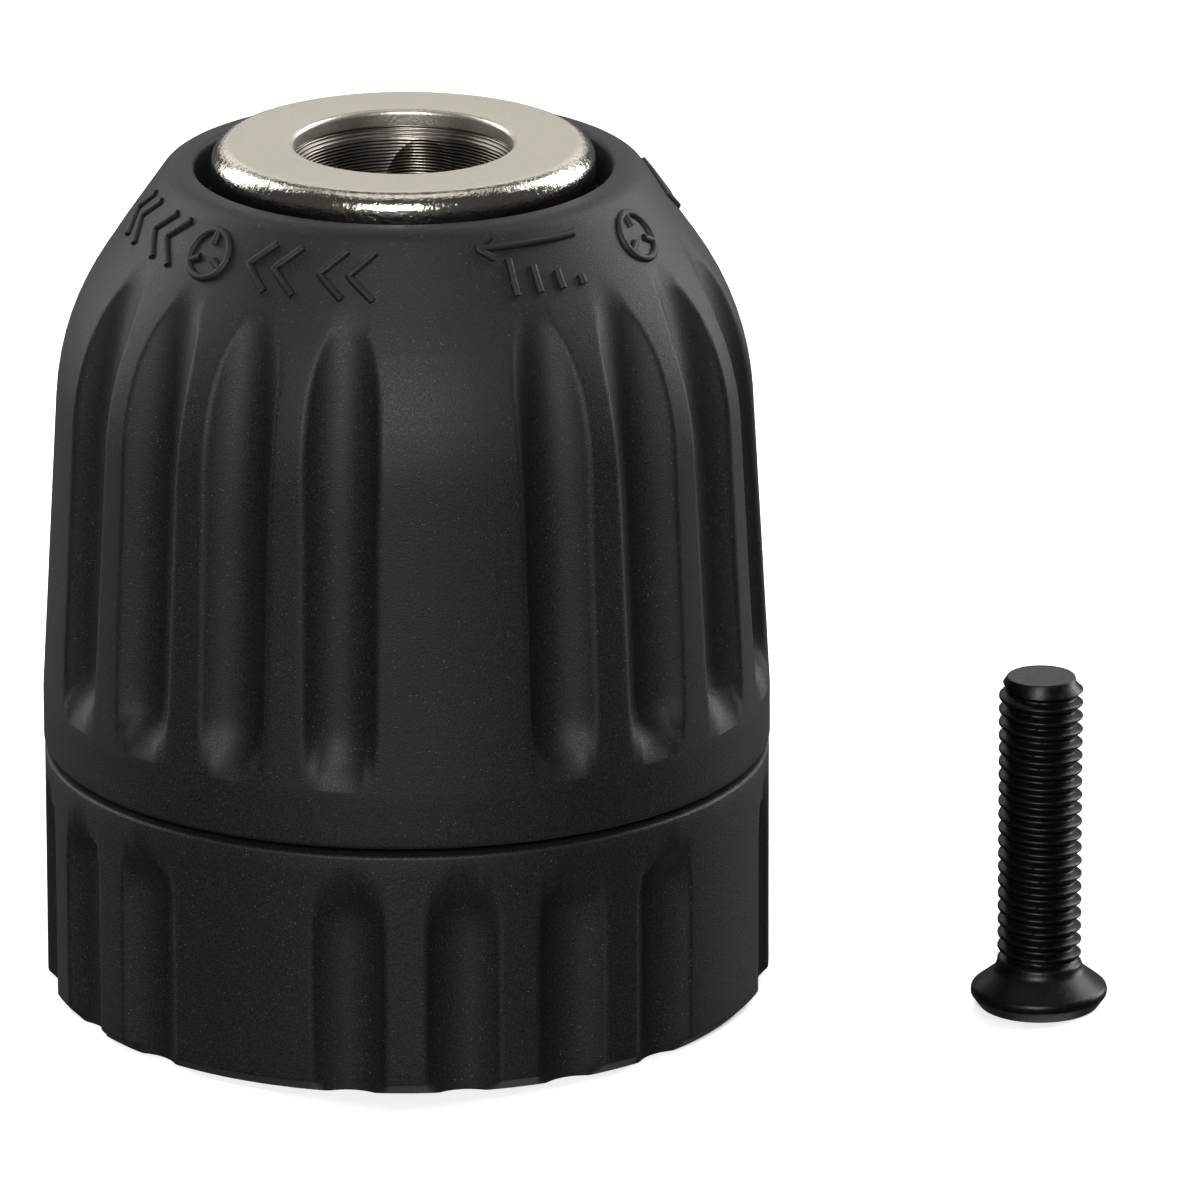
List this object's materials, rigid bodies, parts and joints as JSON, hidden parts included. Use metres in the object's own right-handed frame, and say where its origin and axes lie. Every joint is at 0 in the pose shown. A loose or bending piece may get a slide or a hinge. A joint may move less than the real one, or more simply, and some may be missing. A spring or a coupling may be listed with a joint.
{
  "type": "keyless drill chuck",
  "caption": "Keyless drill chuck: fluted turning front sleeve, fixed rear sleeve, plated nose cap, jaws driven by a split nut, threaded spindle socket, loose retaining screw.",
  "frame": {"origin": "centre of the rear face, on the chuck's axis, at the mouth of the spindle socket", "axes": "+Z along the chuck's axis towards the nose; +X towards the loose retaining screw; the chuck stands on its rear face"},
  "size_m": [0.0614, 0.042, 0.0505],
  "materials": {
    "moulded_nylon": "black glass-filled nylon, fine moulded grain",
    "plated_nickel": "satin nickel plating, bright rolled edge",
    "turned_steel": "turned, with fine tool marks",
    "ground_steel": "ground bright",
    "hardened_steel": "hardened, dark, ground grip faces",
    "natural_nylon": "natural moulded nylon",
    "black_oxide": "black oxide on steel, slightly oily"
  },
  "bodies": {
    "chuck_body": {"body": "turned_steel", "rear_sleeve": "moulded_nylon", "nose_cap": "plated_nickel", "lower_race": "ground_steel"},
    "sleeve_group": {"front_sleeve": "moulded_nylon", "nut_half_a": "turned_steel", "nut_half_b": "turned_steel", "nut_ring": "turned_steel", "upper_race": "ground_steel"},
    "cage_group": {"ball_cage": "natural_nylon", "bearing_ball_01": "ground_steel", "bearing_ball_02": "ground_steel", "bearing_ball_03": "ground_steel", "bearing_ball_04": "ground_steel", "bearing_ball_05": "ground_steel", "bearing_ball_06": "ground_steel", "bearing_ball_07": "ground_steel", "bearing_ball_08": "ground_steel", "bearing_ball_09": "ground_steel", "bearing_ball_10": "ground_steel", "bearing_ball_11": "ground_steel", "bearing_ball_12": "ground_steel", "bearing_ball_13": "ground_steel", "bearing_ball_14": "ground_steel", "bearing_ball_15": "ground_steel", "bearing_ball_16": "ground_steel", "bearing_ball_17": "ground_steel", "bearing_ball_18": "ground_steel"},
    "jaw_1": {"jaw_1": "hardened_steel"},
    "jaw_2": {"jaw_2": "hardened_steel"},
    "jaw_3": {"jaw_3": "hardened_steel"},
    "screw": {"retaining_screw": "black_oxide"}
  },
  "joints": [
    {"name": "sleeve_turn", "type": "hinge", "parent": "chuck_body", "child": "sleeve_group", "pos_m": [0, 0, 0.03], "axis": [0, 0, -1], "range_deg": [0, 3960]},
    {"name": "cage_turn", "type": "hinge", "parent": "chuck_body", "child": "cage_group", "pos_m": [0, 0, 0.029], "axis": [0, 0, -1], "range_deg": [0, 1980]},
    {"name": "jaw_1_slide", "type": "slide", "parent": "chuck_body", "child": "jaw_1", "axis": [-0.0472, -0.2545, 0.9659], "range_m": [0, 0.01761]},
    {"name": "jaw_2_slide", "type": "slide", "parent": "chuck_body", "child": "jaw_2", "axis": [0.244, 0.0864, 0.9659], "range_m": [0, 0.01761]},
    {"name": "jaw_3_slide", "type": "slide", "parent": "chuck_body", "child": "jaw_3", "axis": [-0.1968, 0.1681, 0.9659], "range_m": [0, 0.01761]},
    {"name": "screw_lift", "type": "slide", "parent": "chuck_body", "child": "screw", "axis": [0, 0, 1], "range_m": [0, 0.02]}
  ],
  "couplings": [
    {"joint": "cage_turn", "follows": "sleeve_turn", "ratio": 0.5},
    {"joint": "jaw_1_slide", "follows": "sleeve_turn", "m_per_rad": 0.00025465},
    {"joint": "jaw_2_slide", "follows": "sleeve_turn", "m_per_rad": 0.00025465},
    {"joint": "jaw_3_slide", "follows": "sleeve_turn", "m_per_rad": 0.00025465}
  ]
}
